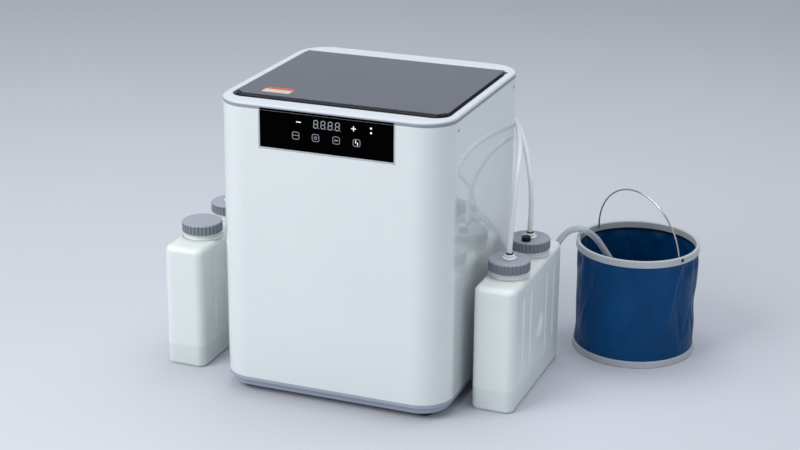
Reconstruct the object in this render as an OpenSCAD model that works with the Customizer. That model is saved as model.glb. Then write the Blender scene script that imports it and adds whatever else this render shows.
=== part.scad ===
// Resin wash station with two solvent tanks and a folding drain bucket.
// The machine's front faces -Y. Every size is in millimetres.

/* [Machine] */
// Width of the machine, side to side
machine_w = 410; // [405:1:420]
// Depth of the machine, front to back
machine_d = 400; // [396:1:410]
// Radius of the body's four upright corners
corner_r = 56; // [48:1:58]
// Height of the body's top edge
body_top = 509.5; // [505:0.5:515]
// Wall of the body shell
shell_wall = 3; // [2.5:0.5:3.5]

/* [Display] */
// Width of the black display glass
display_w = 234; // [220:1:240]
// Height of the black display glass
display_h = 66; // [60:1:70]

/* [Lid] */
// Width of the lid's cover sheet
lid_w = 371; // [360:1:373]
// Diameter of the lid's hinge pins
hinge_pin_d = 5; // [4:0.5:5]

/* [Wash chamber] */
// Inside width of the steel tub
tub_w = 330; // [310:1:335]
// Inside depth of the steel tub
tub_d = 270; // [260:1:275]
// Height of the tub's floor
tub_floor = 195; // [190:1:200]

/* [Tanks] */
// Width of a solvent tank
tank_w = 74; // [70:1:78]
// Length of a solvent tank
tank_l = 275; // [270:1:280]
// Height of a tank's shoulder
tank_h = 221; // [215:1:226]
// Diameter of a screw cap
cap_d = 72; // [71:0.5:73]
// Height of a screw cap
cap_h = 19; // [18:0.5:20]
// Rise of a cap in one turn
thread_pitch = 8; // [6:1:8]

/* [Bucket] */
// Outer diameter of the bucket's rings
bucket_d = 221; // [216:1:224]
// Height of the open bucket
bucket_h = 203; // [190:1:206]
// Diameter of the bail wire
bail_wire = 3; // [2.5:0.5:3]

/* [Hoses] */
// Outer diameter of a supply hose
hose_d = 9.4; // [9:0.2:10]
// Outer diameter of the drain hose
drain_hose_d = 12; // [11:0.5:12]

/* [Hidden] */
$fn = 64;
fit = 0.3;
run_fit = 0.05;

// Where the free-standing pieces are, from the centre of the machine
left_tank_at = [-302, -1];
right_tank_at = [262, 22];
bucket_at = [412, 257];
neck_at = 57.4;
// Centre of the footprint of everything, which becomes the origin
origin_x = (left_tank_at[0] - tank_w / 2 + bucket_at[0] + bucket_d / 2) / 2;
origin_y = (bucket_at[1] + bucket_d / 2 - machine_d / 2) / 2;

// Machine levels and edges
foot_h = 11.5;
band_top = 23.4;
plinth_top = 29.7;
frame_top = body_top + 9;
half_w = machine_w / 2;
half_d = machine_d / 2;
rear_y = half_d;
rear_half_w = 140;
rear_low = 60;
rear_high = 460;
lug_y = 143;
lug_z = 495.5;
lug_gap = 0.7;

// Display
display_x = -1;
display_low = body_top + 3.5 - display_h;
bezel_edge = 3;

// Lid and its hinge
hinge_y = 144;
hinge_z = 514;
lid_front = -163;
lid_rear = 149.5;
lid_low = 511.5;
sheet_low = 519;
sheet_front = -151.5;
lid_half_w = lid_w / 2 + 3;
opening_half_w = 191.5;
opening_front = -167.5;
opening_rear = 153.8;

// Wash chamber
tub_y = -8;
tub_top = 508;
tub_wall = 2.5;
impeller_y = tub_y;
rail_x = 100;
rail_y = 112;
rail_r = 4;

// Rear panel fittings: [x, z]
supply_port_at = [[110, 330], [70, 330], [-110, 330]];
drain_port_at = [110, 120];
port_tip = rear_y + 24;
fan_at = [-70, 140];
inlet_at = [20, 100];
switch_at = [20, 150];

// Tanks and caps
tank_wall = 2;
neck_r = 31;
neck_top = tank_h + 24;
cap_low = tank_h + 9;
cap_top = cap_low + cap_h;
fitting_top = cap_top + 10;
vent_in = 21.5;

// Bucket
ring_r = bucket_d / 2;
ring_in = ring_r - 6.5;
ring_h = 12.5;
ring_low = bucket_h - ring_h;
bail_z = bucket_h - 5;
bail_r = ring_in - 3;
bail_turn = -31;
bail_lean = 6;

// Hose routes: points along each middle line, from the machine's centre
left_rear_route = [[-302, 56.4, 259], [-302, 56.4, 270], [-300, 58, 289], [-294, 65, 312],
    [-285, 78, 333], [-272, 97, 351], [-258, 120, 364], [-245, 146, 371], [-233, 173, 374],
    [-221, 200, 373], [-208, 226, 370], [-193, 250, 364], [-174, 269, 356], [-151, 277, 347],
    [-129, 270, 338], [-115, 254, 332], [-110, 237, 330], [-110, 224, 330]];
right_front_route = [[262, -35.4, 259], [262, -35.4, 270], [262, -32, 290], [262, -22, 328],
    [259, -3, 370], [253, 30, 398], [241, 72, 412], [227, 111, 419], [212, 152, 421],
    [196, 189, 420], [176, 216, 415], [154, 239, 404], [135, 256, 388], [120, 265, 369],
    [112, 261, 349], [110, 245, 335], [110, 224, 330]];
right_rear_route = [[262, 79.4, 259], [262, 79.4, 270], [262, 82, 289], [259, 90, 327],
    [251, 104, 354], [236, 132, 380], [219, 165, 394], [203, 198, 400], [188, 229, 402],
    [171, 259, 400], [149, 282, 393], [125, 296, 381], [102, 299, 366], [84, 290, 351],
    [73, 272, 339], [70, 250, 332], [70, 237, 330], [70, 224, 330]];
drain_route = [[110, 224, 120], [110, 240, 120], [116, 263, 115], [133, 281, 107],
    [155, 288, 99], [178, 288, 95], [202, 280, 100], [225, 268, 115], [243, 258, 138],
    [257, 252, 163], [270, 250, 189], [288, 249, 208], [311, 249, 213], [333, 249, 202],
    [350, 250, 182], [366, 252, 158], [386, 256, 121], [397, 259, 96], [404, 262, 67],
    [407, 264, 38], [407, 265, 13]];

// ---------------------------------------------------------------- helpers

module place() {
    translate([-origin_x, -origin_y, 0]) children();
}

module box(x0, x1, y0, y1, z0, z1) {
    translate([x0, y0, z0]) cube([x1 - x0, y1 - y0, z1 - z0]);
}

module rounded_plate(x0, x1, y0, y1, r) {
    translate([x0 + r, y0]) square([x1 - x0 - 2 * r, y1 - y0]);
    translate([x0, y0 + r]) square([x1 - x0, y1 - y0 - 2 * r]);
    for (x = [x0 + r, x1 - r], y = [y0 + r, y1 - r]) translate([x, y]) circle(r);
}

module rounded_block(x0, x1, y0, y1, r, z0, z1) {
    translate([0, 0, z0]) linear_extrude(z1 - z0) rounded_plate(x0, x1, y0, y1, r);
}

module centred_block(w, d, r, z0, z1) {
    rounded_block(-w / 2, w / 2, -d / 2, d / 2, r, z0, z1);
}

module rod_z(x, y, r, z0, z1) {
    translate([x, y, z0]) cylinder(r = r, h = z1 - z0);
}

module rod_y(x, z, r, y0, y1) {
    translate([x, y1, z]) rotate([90, 0, 0]) cylinder(r = r, h = y1 - y0);
}

module rod_x(y, z, r, x0, x1) {
    translate([x0, y, z]) rotate([0, 90, 0]) cylinder(r = r, h = x1 - x0);
}

// A tube swept along a route: the cross-section stays square to the middle line
function unit(v) = v / norm(v);
function heading(p, i) = unit(p[min(i + 1, len(p) - 1)] - p[max(i - 1, 0)]);
function side_of(t) = unit(cross(t, abs(t[2]) > 0.9 ? [1, 0, 0] : [0, 0, 1]));
function carried(p, i) = i == 0 ? side_of(heading(p, 0)) :
    let (s = carried(p, i - 1), t = heading(p, i)) unit(s - t * (s * t));
function ring_point(c, t, s, r, a) = c + r * (cos(a) * s + sin(a) * cross(t, s));

module swept_tube(p, d) {
    n = 8;
    m = len(p);
    points = [for (i = [0:m - 1]) let (t = heading(p, i), s = carried(p, i))
        for (k = [0:n - 1]) ring_point(p[i], t, s, d / 2, k * 360 / n)];
    sides = [for (i = [0:m - 2], k = [0:n - 1])
        let (a = i * n + k, b = i * n + (k + 1) % n)
        for (f = [[a, a + n, b + n], [a, b + n, b]]) f];
    first = [[for (k = [0:n - 1]) k]];
    last = [[for (k = [n - 1:-1:0]) (m - 1) * n + k]];
    polyhedron(points, concat(sides, first, last));
}

// ---------------------------------------------------------------- housing

module outer_shell() {
    color("whitesmoke") place() difference() {
        centred_block(machine_w, machine_d, corner_r, plinth_top, body_top);
        centred_block(machine_w - 2 * shell_wall, machine_d - 2 * shell_wall,
            corner_r - shell_wall, plinth_top - 1, body_top + 1);
        box(display_x - display_w / 2 - bezel_edge, display_x + display_w / 2 + bezel_edge,
            -half_d - 1, -half_d + shell_wall + 1, display_low - bezel_edge, body_top + 1);
        box(-rear_half_w, rear_half_w, half_d - shell_wall - 1, half_d + 1, rear_low, rear_high);
        for (y = [-lug_y, lug_y]) rod_x(y, lug_z, 3.5, -half_w - 1, half_w + 1);
    }
}

module base_plinth() {
    color("slategray") place() difference() {
        union() {
            centred_block(machine_w - 14, machine_d - 14, corner_r - 7, foot_h, band_top);
            centred_block(machine_w, machine_d, corner_r, band_top, plinth_top);
        }
        centred_block(machine_w - 28, machine_d - 28, corner_r - 14, foot_h + 3, plinth_top + 1);
    }
}

module feet() {
    color("dimgray") place()
        for (x = [-160, 160], y = [-160, 160]) {
            rod_z(x, y, 15, 2, foot_h);
            rod_z(x, y, 13, 0, 2);
        }
}

module top_frame() {
    lug_in = half_w - shell_wall - lug_gap;
    color("lightsteelblue") place() difference() {
        union() {
            centred_block(machine_w, machine_d, corner_r, body_top, frame_top);
            for (s = [-1, 1], y = [-lug_y, lug_y])
                box(min(s * (lug_in - 7), s * lug_in), max(s * (lug_in - 7), s * lug_in),
                    y - 8, y + 8, lug_z - 8, body_top);
        }
        rounded_block(-opening_half_w, opening_half_w, opening_front, opening_rear, 26,
            body_top - 0.1, frame_top + 1);
        box(-opening_half_w, opening_half_w, opening_rear - 30, opening_rear,
            body_top - 0.1, frame_top + 1);
        box(display_x - display_w / 2, display_x + display_w / 2, -half_d - 1, -half_d + 3,
            body_top - 0.1, display_low + display_h);
        for (s = [-1, 1])
            rod_x(hinge_y, hinge_z, hinge_pin_d / 2 + run_fit,
                min(s * (opening_half_w - 1), s * (opening_half_w + 8)),
                max(s * (opening_half_w - 1), s * (opening_half_w + 8)));
        for (y = [-lug_y, lug_y]) rod_x(y, lug_z, 1.5, -half_w - 1, half_w + 1);
    }
}

module display_bezel() {
    x0 = display_x - display_w / 2;
    x1 = display_x + display_w / 2;
    color("gainsboro") place() difference() {
        box(x0 - bezel_edge + 0.1, x1 + bezel_edge - 0.1, -half_d, -half_d + 9,
            display_low - bezel_edge + 0.1, body_top - 0.1);
        box(x0, x1, -half_d - 1, -half_d + 3, display_low, body_top + 1);
        box(x0 + 8, x1 - 8, -half_d - 1, -half_d + 10, display_low + 6, body_top - 6);
    }
}

module display_glass() {
    color("black") place()
        box(display_x - display_w / 2 + 0.1, display_x + display_w / 2 - 0.1,
            -half_d, -half_d + 3, display_low + 0.1, display_low + display_h - 0.1);
}

module display_board() {
    back = -half_d + 9;
    color("darkgreen") place() {
        box(display_x - 106, display_x + 106, back, back + 1.6, display_low + 2, body_top - 2);
        for (k = [0:3])
            box(-65 + 8 * k, -59 + 8 * k, back - 5, back, display_low + 38, display_low + 54);
    }
}

module rear_panel() {
    color("lightgray") place() difference() {
        union() {
            box(-rear_half_w + fit, rear_half_w - fit, rear_y - 3, rear_y,
                rear_low + fit, rear_high - fit);
            box(-rear_half_w - 6, rear_half_w + 6, rear_y - 6, rear_y - 3,
                rear_low - 6, rear_high + 6);
        }
        for (k = [-3:3])
            box(fan_at[0] - 28, fan_at[0] + 28, rear_y - 7, rear_y + 1,
                fan_at[1] + 9 * k - 2.5, fan_at[1] + 9 * k + 2.5);
        for (k = [0:6])
            box(-60, 60, rear_y - 7, rear_y + 1, 395 + 8 * k, 399 + 8 * k);
        for (p = supply_port_at) rod_y(p[0], p[1], 6, rear_y - 8, rear_y + 1);
        rod_y(drain_port_at[0], drain_port_at[1], 7.5, rear_y - 8, rear_y + 1);
        box(inlet_at[0] - 14, inlet_at[0] + 14, rear_y - 7, rear_y + 1,
            inlet_at[1] - 10, inlet_at[1] + 10);
        box(switch_at[0] - 10, switch_at[0] + 10, rear_y - 7, rear_y + 1,
            switch_at[1] - 14, switch_at[1] + 14);
        for (x = [-132, 132], z = [68, 260, 452]) rod_y(x, z, 1.5, rear_y - 8, rear_y + 1);
    }
}

module fan_frame() {
    y1 = rear_y - 6;
    color("dimgray") place() {
        difference() {
            box(fan_at[0] - 40, fan_at[0] + 40, y1 - 20, y1, fan_at[1] - 40, fan_at[1] + 40);
            rod_y(fan_at[0], fan_at[1], 37, y1 - 21, y1 + 1);
        }
        for (turn = [0, 90])
            translate([fan_at[0], 0, fan_at[1]]) rotate([0, turn, 0])
                box(-37.4, 37.4, y1 - 20, y1 - 18, -3, 3);
        rod_y(fan_at[0], fan_at[1], 3, y1 - 18, y1 - 3);
    }
}

module fan_rotor() {
    y0 = rear_y - 6 - 17;
    color("black") place() difference() {
        union() {
            rod_y(fan_at[0], fan_at[1], 14, y0, y0 + 13);
            for (k = [0:6])
                translate([fan_at[0], 0, fan_at[1]]) rotate([0, k * 360 / 7, 0])
                    box(12, 34, y0 + 1, y0 + 11, -1.2, 1.2);
        }
        rod_y(fan_at[0], fan_at[1], 3 + run_fit, y0 - 1, y0 + 15);
    }
}

module power_inlet() {
    color("black") place() {
        difference() {
            union() {
                box(inlet_at[0] - 13.8, inlet_at[0] + 13.8, rear_y - 26, rear_y,
                    inlet_at[1] - 9.8, inlet_at[1] + 9.8);
                box(inlet_at[0] - 20, inlet_at[0] + 20, rear_y, rear_y + 2.5,
                    inlet_at[1] - 13, inlet_at[1] + 13);
            }
            box(inlet_at[0] - 12, inlet_at[0] + 12, rear_y - 18, rear_y + 3,
                inlet_at[1] - 8, inlet_at[1] + 8);
        }
        for (x = [-7, 0, 7])
            box(inlet_at[0] + x - 1, inlet_at[0] + x + 1, rear_y - 19, rear_y - 5,
                inlet_at[1] - 2, inlet_at[1] + 2);
    }
}

module switch_frame() {
    color("black") place() difference() {
        union() {
            box(switch_at[0] - 9.8, switch_at[0] + 9.8, rear_y - 20, rear_y,
                switch_at[1] - 13.8, switch_at[1] + 13.8);
            box(switch_at[0] - 13, switch_at[0] + 13, rear_y, rear_y + 2,
                switch_at[1] - 17, switch_at[1] + 17);
        }
        box(switch_at[0] - 7.5, switch_at[0] + 7.5, rear_y - 17, rear_y + 3,
            switch_at[1] - 12, switch_at[1] + 12);
        rod_x(rear_y - 4, switch_at[1], 1.5 + run_fit, switch_at[0] - 9, switch_at[0] + 9);
    }
}

module switch_rocker() {
    color("darkred") place()
        translate([switch_at[0], rear_y - 4, switch_at[1]]) rotate([-9, 0, 0]) {
            box(-7, 7, -5, 5.5, -9.5, 9.5);
            rod_x(0, 0, 1.5, -8.7, 8.7);
        }
}

module feed_port(p, r, bore) {
    difference() {
        union() {
            rod_y(p[0], p[1], r, rear_y - 22, port_tip);
            translate([p[0], rear_y + 7, p[1]]) rotate([90, 0, 0])
                cylinder(r = r + 5, h = 7, $fn = 6);
        }
        rod_y(p[0], p[1], bore, rear_y - 23, port_tip + 1);
    }
}

module supply_ports() {
    color("white") place() for (p = supply_port_at) feed_port(p, 6 - run_fit, 3);
}

module drain_port() {
    color("white") place() feed_port(drain_port_at, 7.5 - run_fit, 4.5);
}

module shell_screws() {
    reach = half_w - shell_wall;
    color("silver") place()
        for (s = [-1, 1], y = [-lug_y, lug_y]) {
            rod_x(y, lug_z, 3.3, min(s * reach, s * (half_w - 0.6)),
                max(s * reach, s * (half_w - 0.6)));
            rod_x(y, lug_z, 1.5, min(s * (reach - 6), s * reach), max(s * (reach - 6), s * reach));
        }
}

module panel_screws() {
    color("silver") place()
        for (x = [-132, 132], z = [68, 260, 452]) {
            rod_y(x, z, 3.2, rear_y, rear_y + 1.8);
            rod_y(x, z, 1.5, rear_y - 8, rear_y);
        }
}

// -------------------------------------------------------------------- lid

module lid_panel() {
    half = lid_w / 2;
    bevel = 15;
    color("dimgray") place() translate([0, 0, sheet_low]) linear_extrude(2.3)
        polygon([[-half, lid_rear], [-half, sheet_front + bevel], [-half + bevel, sheet_front],
            [half - bevel, sheet_front], [half, sheet_front + bevel], [half, lid_rear]]);
}

module lid_frame() {
    color("black") place() difference() {
        union() {
            rounded_block(-lid_half_w, lid_half_w, lid_front, lid_rear - 30, 22, lid_low,
                lid_low + 5);
            rounded_block(-lid_half_w, lid_half_w, lid_front + 4, lid_rear - 30, 20, lid_low + 5,
                sheet_low);
            box(-lid_half_w, lid_half_w, 0, lid_rear, lid_low, sheet_low);
        }
        box(-155, 155, -130, 115, lid_low - 1, sheet_low + 1);
        rod_x(hinge_y, hinge_z, hinge_pin_d / 2, -lid_half_w - 1, -lid_half_w + 12);
        rod_x(hinge_y, hinge_z, hinge_pin_d / 2, lid_half_w - 12, lid_half_w + 1);
    }
}

module hinge_pins() {
    color("silver") place()
        for (s = [-1, 1])
            rod_x(hinge_y, hinge_z, hinge_pin_d / 2, min(s * (lid_half_w - 12), s * 198.5),
                max(s * (lid_half_w - 12), s * 198.5));
}

// ----------------------------------------------------------- wash chamber

module wash_tub() {
    x = tub_w / 2;
    y0 = tub_y - tub_d / 2;
    y1 = tub_y + tub_d / 2;
    color("silver") place() difference() {
        union() {
            rounded_block(-x - tub_wall, x + tub_wall, y0 - tub_wall, y1 + tub_wall, 32,
                tub_floor - tub_wall, tub_top);
            rounded_block(-x - 12, x + 12, y0 - 10, y1 + 10, 36, tub_top - 3, tub_top);
        }
        rounded_block(-x, x, y0, y1, 30, tub_floor, tub_top + 1);
        rod_z(110, 60, 7, tub_floor - 5, tub_floor + 1);
        rod_z(-110, 60, 5, tub_floor - 5, tub_floor + 1);
        rod_z(0, impeller_y, rail_r, tub_floor - 5, tub_floor + 1);
    }
}

module tub_gasket() {
    x = tub_w / 2;
    y0 = tub_y - tub_d / 2;
    y1 = tub_y + tub_d / 2;
    color("dimgray") place() difference() {
        rounded_block(-x - 10, x + 10, y0 - 8, y1 + 8, 34, tub_top, lid_low - fit);
        rounded_block(-x - 3, x + 3, y0 - 3, y1 + 3, 32, tub_top - 1, lid_low + 1);
    }
}

module hanger_rails() {
    wall_y = tub_y + tub_d / 2;
    color("silver") place()
        for (s = [-1, 1]) {
            rod_z(s * rail_x, rail_y, rail_r, 240, 484);
            box(s * rail_x - 7, s * rail_x + 7, rail_y - 7, wall_y, 232, 240);
            box(s * rail_x - 7, s * rail_x + 7, rail_y - 7, wall_y, 484, 492);
        }
}

module plate_hanger() {
    color("gray") place() difference() {
        union() {
            box(-135, 135, rail_y - 14, rail_y - 9, 424, 464);
            for (s = [-1, 1]) {
                rod_z(s * rail_x, rail_y, 8, 424, 464);
                box(min(s * 127, s * 135), max(s * 127, s * 135), -90, rail_y - 9, 430, 442);
                box(min(s * 127, s * 135), max(s * 127, s * 135), -90, -80, 442, 452);
            }
            box(-108, 108, rail_y - 14, rail_y - 4, 436, 452);
        }
        for (s = [-1, 1])
            rod_z(s * rail_x, rail_y, rail_r + run_fit, 420, 470);
    }
}

module impeller_axle() {
    color("silver") place() {
        rod_z(0, impeller_y, rail_r, tub_floor - tub_wall, tub_floor + 30);
        rod_z(0, impeller_y, 9, tub_floor, tub_floor + 6);
    }
}

module impeller() {
    low = tub_floor + 7;
    color("steelblue") place() difference() {
        union() {
            rod_z(0, impeller_y, 62, low, low + 4);
            rod_z(0, impeller_y, 13, low, low + 20);
            for (k = [0:5])
                translate([0, impeller_y, 0]) rotate([0, 0, 60 * k])
                    box(12, 60, -1.5, 1.5, low + 4, low + 17);
        }
        rod_z(0, impeller_y, rail_r + run_fit, low - 1, low + 21);
    }
}

// ------------------------------------------------------------ works below

module drive_motor() {
    color("dimgray") place() difference() {
        union() {
            rod_z(0, impeller_y, 30, 96, 160);
            for (s = [-1, 1]) box(s * 38 - 8, s * 38 + 8, impeller_y - 8, impeller_y + 8,
                foot_h + 3, 104);
            box(-46, 46, impeller_y - 8, impeller_y + 8, 92, 104);
        }
        rod_z(0, impeller_y, 5 + run_fit, 120, 161);
    }
}

module drive_rotor() {
    color("silver") place() {
        rod_z(0, impeller_y, 5, 122, 172);
        rod_z(0, impeller_y, 45, 172, 184);
    }
}

module pump(x, y) {
    rod_z(x, y, 20, 33, 88);
    rod_z(x, y, 26, 88, 112);
    rod_y(x, 100, 5, y, y + 38);
}

module drain_pump() {
    color("gray") place() difference() {
        union() {
            pump(110, 60);
            rod_z(110, 60, 9, 112, 122);
        }
        rod_z(110, 60, 5, 104, 123);
    }
}

module fill_pump() {
    color("gray") place() difference() {
        union() {
            pump(-110, 60);
            rod_z(-110, 60, 9, 112, 122);
        }
        rod_z(-110, 60, 4, 104, 123);
    }
}

module pump_bracket() {
    color("silver") place() {
        for (s = [-1, 1]) {
            box(s * 110 - 30, s * 110 + 30, 34, 86, 30, 33);
            for (x = [s * 110 - 30, s * 110 + 27]) box(x, x + 3, 34, 86, foot_h + 3, 30);
        }
    }
}

module valve_block() {
    color("goldenrod") place() {
        box(40, 140, rear_y - 60, rear_y - 26, 300, 345);
        for (x = [60, 90, 120]) rod_y(x, 322, 9, rear_y - 70, rear_y - 60);
        box(60, 68, rear_y - 50, rear_y - 6, 345, 352);
        box(112, 120, rear_y - 50, rear_y - 6, 345, 352);
    }
}

module drain_pipe() {
    color("gainsboro") place() difference() {
        union() {
            rod_z(110, 60, 9, 122, tub_floor - tub_wall);
            rod_z(110, 60, 7, tub_floor - tub_wall, tub_floor);
        }
        rod_z(110, 60, 5, 121, tub_floor + 1);
    }
}

module fill_pipe() {
    color("gainsboro") place() difference() {
        union() {
            rod_z(-110, 60, 7, 122, tub_floor - tub_wall);
            rod_z(-110, 60, 5, tub_floor - tub_wall, tub_floor);
        }
        rod_z(-110, 60, 3.5, 121, tub_floor + 1);
    }
}

module power_supply() {
    color("silver") place() {
        box(-150, -50, -150, -60, foot_h + 3, 55);
        for (x = [-140:12:-56]) box(x, x + 6, -157, -150, 24, 36);
    }
}

module main_board() {
    color("darkgreen") place() {
        box(60, 160, -150, -60, 26, 27.6);
        for (x = [66, 154], y = [-144, -66]) rod_z(x, y, 3, foot_h + 3, 26);
        box(84, 110, -130, -104, 27.6, 31);
        box(124, 150, -120, -80, 27.6, 42);
        for (k = [0:3]) rod_z(72 + 12 * k, -76, 4, 27.6, 40);
    }
}

// ------------------------------------------------------------------ tanks

module tank(at) {
    y0 = -tank_l / 2;
    difference() {
        union() {
            translate([at[0], at[1], 0])
                rounded_block(-tank_w / 2, tank_w / 2, y0, -y0, 15, 0, tank_h);
            for (s = [-1, 1]) {
                rod_z(at[0], at[1] + s * neck_at, neck_r, tank_h, neck_top);
                rod_z(at[0], at[1] + s * neck_at, neck_r + 3, tank_h, tank_h + 4);
            }
        }
        translate([at[0], at[1], 0])
            rounded_block(-tank_w / 2 + tank_wall, tank_w / 2 - tank_wall, y0 + tank_wall,
                -y0 - tank_wall, 13, tank_wall, tank_h - tank_wall);
        for (s = [-1, 1])
            rod_z(at[0], at[1] + s * neck_at, neck_r - 4, tank_h - 5, neck_top + 1);
    }
}

module left_tank() {
    color("azure") place() tank(left_tank_at);
}

module right_tank() {
    color("azure") place() tank(right_tank_at);
}

module cap_shell(x, y) {
    difference() {
        rod_z(x, y, cap_d / 2, cap_low, cap_top);
        rod_z(x, y, neck_r + fit, cap_low - 1, cap_top - 2.5);
    }
}

module drilled_cap(x, y) {
    difference() {
        union() {
            cap_shell(x, y);
            rod_z(x, y, 20, neck_top, cap_top);
        }
        rod_z(x, y, 8, cap_low, cap_top + 1);
    }
}

module left_front_cap() {
    color("gray") place() cap_shell(left_tank_at[0], left_tank_at[1] - neck_at);
}

module left_front_liner() {
    color("white") place()
        rod_z(left_tank_at[0], left_tank_at[1] - neck_at, neck_r, neck_top + 0.2, cap_top - 2.7);
}

module left_rear_cap() {
    color("gray") place() drilled_cap(left_tank_at[0], left_tank_at[1] + neck_at);
}

module right_front_cap() {
    color("gray") place() drilled_cap(right_tank_at[0], right_tank_at[1] - neck_at);
}

module right_rear_cap() {
    color("gray") place() difference() {
        drilled_cap(right_tank_at[0], right_tank_at[1] + neck_at);
        rod_z(right_tank_at[0], right_tank_at[1] + neck_at - vent_in, 3 + run_fit,
            cap_low, cap_top + 1);
    }
}

module cap_fitting(x, y) {
    rod_z(x, y, 8, neck_top - 6, cap_top);
    rod_z(x, y, 12, cap_top, cap_top + 3);
    translate([x, y, cap_top + 3]) cylinder(r = 9.5, h = 4.5, $fn = 6);
    rod_z(x, y, 6.5, cap_top + 7.5, fitting_top);
}

module left_rear_fitting() {
    color("white") place() cap_fitting(left_tank_at[0], left_tank_at[1] + neck_at);
}

module right_front_fitting() {
    color("white") place() cap_fitting(right_tank_at[0], right_tank_at[1] - neck_at);
}

module right_rear_fitting() {
    color("white") place() cap_fitting(right_tank_at[0], right_tank_at[1] + neck_at);
}

module vent_plug() {
    x = right_tank_at[0];
    y = right_tank_at[1] + neck_at - vent_in;
    color("black") place() {
        rod_z(x, y, 3, cap_top - 7, cap_top + 0.2);
        rod_z(x, y, 8, cap_top + 0.2, cap_top + 8);
    }
}

module dip_tubes() {
    ends = [[left_tank_at[0], left_tank_at[1] + neck_at],
        [right_tank_at[0], right_tank_at[1] - neck_at],
        [right_tank_at[0], right_tank_at[1] + neck_at]];
    color("white") place()
        for (p = ends) rod_z(p[0], p[1], hose_d / 2, 14, neck_top - 6);
}

module left_rear_hose() {
    color("lightblue") place() swept_tube(left_rear_route, hose_d);
}

module right_front_hose() {
    color("lightblue") place() swept_tube(right_front_route, hose_d);
}

module right_rear_hose() {
    color("lightblue") place() swept_tube(right_rear_route, hose_d);
}

module drain_hose() {
    color("lightblue") place() swept_tube(drain_route, drain_hose_d);
}

// ----------------------------------------------------------------- bucket

module hoop(r_out, r_in, z0, z1) {
    translate([bucket_at[0], bucket_at[1], 0]) difference() {
        rod_z(0, 0, r_out, z0, z1);
        rod_z(0, 0, r_in, z0 - 1, z1 + 1);
    }
}

module bucket_bottom_ring() {
    color("silver") place() hoop(ring_r, ring_in, 0, ring_h);
}

module bucket_base() {
    color("darkblue") place() rod_z(bucket_at[0], bucket_at[1], ring_in, 3, 5);
}

module bucket_wall() {
    color("darkblue") place() hoop(ring_r - 2.5, ring_r - 4.5, ring_h, ring_low);
}

module bail_frame() {
    translate([bucket_at[0], bucket_at[1], bail_z]) rotate([0, 0, bail_turn]) children();
}

module bucket_top_ring() {
    color("silver") place() difference() {
        hoop(ring_r, ring_in, ring_low, bucket_h);
        bail_frame() rod_x(0, 0, bail_wire / 2 + run_fit, -ring_r + 1.5, ring_r - 1.5);
    }
}

module bail() {
    color("silver") place() bail_frame() rotate([bail_lean, 0, 0]) {
        rotate([90, 0, 0]) rotate_extrude(angle = 180) translate([bail_r, 0])
            circle(bail_wire / 2, $fn = 32);
        for (s = [-1, 1])
            rod_x(0, 0, bail_wire / 2, min(s * bail_r, s * (ring_r - 2)),
                max(s * bail_r, s * (ring_r - 2)));
    }
}

module bail_screws() {
    color("gray") place() bail_frame()
        for (s = [-1, 1])
            rod_x(0, 0, 3, min(s * (ring_r - 0.2), s * (ring_r + 1)),
                max(s * (ring_r - 0.2), s * (ring_r + 1)));
}

outer_shell();
base_plinth();
feet();
top_frame();
display_bezel();
display_glass();
display_board();
rear_panel();
fan_frame();
fan_rotor();
power_inlet();
switch_frame();
switch_rocker();
lid_panel();
lid_frame();
hinge_pins();
wash_tub();
tub_gasket();
hanger_rails();
plate_hanger();
impeller();
impeller_axle();
drive_motor();
drive_rotor();
drain_pump();
fill_pump();
pump_bracket();
valve_block();
drain_pipe();
fill_pipe();
power_supply();
main_board();
shell_screws();
panel_screws();
supply_ports();
drain_port();
left_tank();
right_tank();
left_front_cap();
left_front_liner();
left_rear_cap();
right_front_cap();
right_rear_cap();
left_rear_fitting();
right_front_fitting();
right_rear_fitting();
vent_plug();
dip_tubes();
left_rear_hose();
right_front_hose();
right_rear_hose();
drain_hose();
bucket_bottom_ring();
bucket_base();
bucket_wall();
bucket_top_ring();
bail();
bail_screws();
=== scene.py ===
"""Resin wash station: the visual model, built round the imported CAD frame.

Sizes below are in millimetres from the centre of the machine's footprint, and place() turns them
into the frame's metres.
"""
import math
import random

import bmesh
import bpy
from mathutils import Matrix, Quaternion, Vector, noise


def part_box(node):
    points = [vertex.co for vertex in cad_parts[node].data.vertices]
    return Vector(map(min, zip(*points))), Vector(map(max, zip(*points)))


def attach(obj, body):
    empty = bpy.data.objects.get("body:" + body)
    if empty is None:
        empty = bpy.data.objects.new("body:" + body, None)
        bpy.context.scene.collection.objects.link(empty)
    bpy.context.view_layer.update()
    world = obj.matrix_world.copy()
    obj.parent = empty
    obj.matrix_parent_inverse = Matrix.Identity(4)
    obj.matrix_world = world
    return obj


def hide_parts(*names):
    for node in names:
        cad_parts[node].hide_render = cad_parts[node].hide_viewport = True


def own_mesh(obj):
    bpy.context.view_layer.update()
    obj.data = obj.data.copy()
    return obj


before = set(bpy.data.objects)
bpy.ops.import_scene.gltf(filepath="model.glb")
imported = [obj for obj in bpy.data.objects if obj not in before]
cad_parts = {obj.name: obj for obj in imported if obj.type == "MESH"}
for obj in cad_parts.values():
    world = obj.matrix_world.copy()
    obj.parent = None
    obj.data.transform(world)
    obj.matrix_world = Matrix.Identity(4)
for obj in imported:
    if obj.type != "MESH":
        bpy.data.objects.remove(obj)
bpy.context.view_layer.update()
random.seed(7)
MM = 0.001
shell_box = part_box("outer_shell")
CENTRE_X = (shell_box[0][0] + shell_box[1][0]) / 2
CENTRE_Y = (shell_box[0][1] + shell_box[1][1]) / 2


def place(x, y, z):
    """A point given in millimetres from the machine's centre, in the frame's metres."""
    return Vector((CENTRE_X + x * MM, CENTRE_Y + y * MM, z * MM))


def node_mm(node):
    """A CAD node's lowest and highest corners, in millimetres from the machine's centre."""
    return [((p[0] - CENTRE_X) / MM, (p[1] - CENTRE_Y) / MM, p[2] / MM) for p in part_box(node)]


# ------------------------------------------------------------------ camera

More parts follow.
